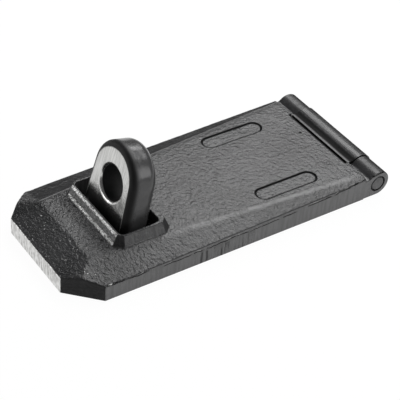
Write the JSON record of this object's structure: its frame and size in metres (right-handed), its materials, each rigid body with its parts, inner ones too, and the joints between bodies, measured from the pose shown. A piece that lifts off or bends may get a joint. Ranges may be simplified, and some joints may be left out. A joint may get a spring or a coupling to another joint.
{
  "type": "hasp",
  "caption": "Heavy security hasp: cast cover with sloped nose and drafted collar, hinged on a hidden leaf, closing over a forged padlock eye on its own base plate.",
  "frame": {"origin": "centre of the closed hasp's outline, on the mounting face", "axes": "+Y along the hasp from the nose to the hinge, +Z out of the mounting face"},
  "size_m": [0.078, 0.18, 0.0514],
  "materials": {
    "black_casting": "black semi-gloss coating over a grainy casting",
    "pin_steel": "black coated steel, worn on the end face",
    "black_plate": "black semi-gloss coating on steel plate",
    "eye_steel": "black coated forging with a bright ground face"
  },
  "bodies": {
    "base": {"hinge_leaf": "black_plate", "staple_plate": "black_plate", "staple_eye": "eye_steel"},
    "cover": {"cover": "black_casting", "hinge_pin": "pin_steel"}
  },
  "joints": [
    {"name": "cover_hinge", "type": "hinge", "parent": "base", "child": "cover", "pos_m": [0, 0.0826, 0.0074], "axis": [-1, 0, 0], "range_deg": [0, 175]}
  ]
}
